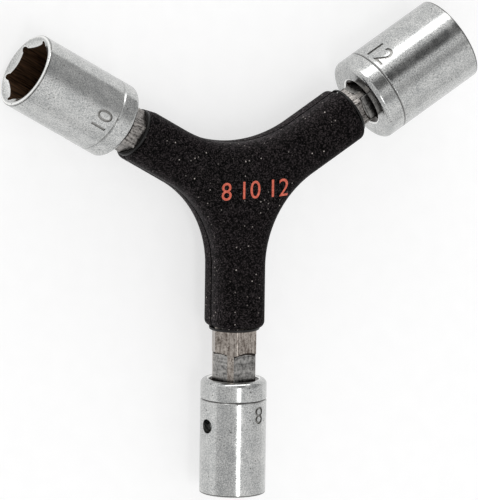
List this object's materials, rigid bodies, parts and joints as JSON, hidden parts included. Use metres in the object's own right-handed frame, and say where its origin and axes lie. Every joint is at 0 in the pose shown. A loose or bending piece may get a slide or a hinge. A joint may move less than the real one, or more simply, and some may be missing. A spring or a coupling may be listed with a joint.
{
  "type": "y wrench",
  "caption": "Y-shaped hand wrench: moulded two-half grip over a welded steel core, with a plug-on nut socket held by a ball detent on the square end of each arm.",
  "frame": {"origin": "on the flat back of the grip, behind the point where the three arm axes meet", "axes": "+Z out of the front of the grip, -Y along the 8 mm arm, +X to the side of the 12 mm arm"},
  "size_m": [0.094, 0.0872, 0.016],
  "materials": {
    "grip_plastic": "fine moulded grain, satin black",
    "collar_plastic": "satin black",
    "bar_steel": "drawn bar, mottled satin",
    "weld_steel": "as welded",
    "socket_chrome": "chrome plate over a turned surface",
    "ball_steel": "polished bearing ball",
    "spring_steel": "drawn wire"
  },
  "bodies": {
    "wrench": {"grip_front": "grip_plastic", "grip_rear": "grip_plastic", "weld_bead_8_12": "weld_steel", "weld_bead_12_10": "weld_steel", "weld_bead_10_8": "weld_steel", "hex_shank_8": "bar_steel", "hex_shank_10": "bar_steel", "hex_shank_12": "bar_steel", "end_collar_8": "collar_plastic", "end_collar_10": "collar_plastic", "end_collar_12": "collar_plastic", "detent_spring_8": "spring_steel", "detent_spring_10": "spring_steel", "detent_spring_12": "spring_steel"},
    "socket_8": {"socket_8": "socket_chrome"},
    "socket_10": {"socket_10": "socket_chrome"},
    "socket_12": {"socket_12": "socket_chrome"},
    "detent_ball_8": {"detent_ball_8": "ball_steel"},
    "detent_ball_10": {"detent_ball_10": "ball_steel"},
    "detent_ball_12": {"detent_ball_12": "ball_steel"}
  },
  "joints": [
    {"name": "socket_8_pull", "type": "slide", "parent": "wrench", "child": "socket_8", "axis": [0, -1, 0], "range_m": [0, 0.012]},
    {"name": "socket_10_pull", "type": "slide", "parent": "wrench", "child": "socket_10", "axis": [-0.866, 0.5, 0], "range_m": [0, 0.012]},
    {"name": "socket_12_pull", "type": "slide", "parent": "wrench", "child": "socket_12", "axis": [0.866, 0.5, 0], "range_m": [0, 0.012]},
    {"name": "detent_8_press", "type": "slide", "parent": "wrench", "child": "detent_ball_8", "axis": [0.9877, 0, -0.1564], "range_m": [0, 0.0005], "stiffness_N_per_m": 500, "deforming": ["detent_spring_8"]},
    {"name": "detent_10_press", "type": "slide", "parent": "wrench", "child": "detent_ball_10", "axis": [0.4924, 0.8529, 0.1736], "range_m": [0, 0.0005], "stiffness_N_per_m": 500, "deforming": ["detent_spring_10"]},
    {"name": "detent_12_press", "type": "slide", "parent": "wrench", "child": "detent_ball_12", "axis": [-0.4981, 0.8627, 0.0872], "range_m": [0, 0.0005], "stiffness_N_per_m": 500, "deforming": ["detent_spring_12"]}
  ]
}
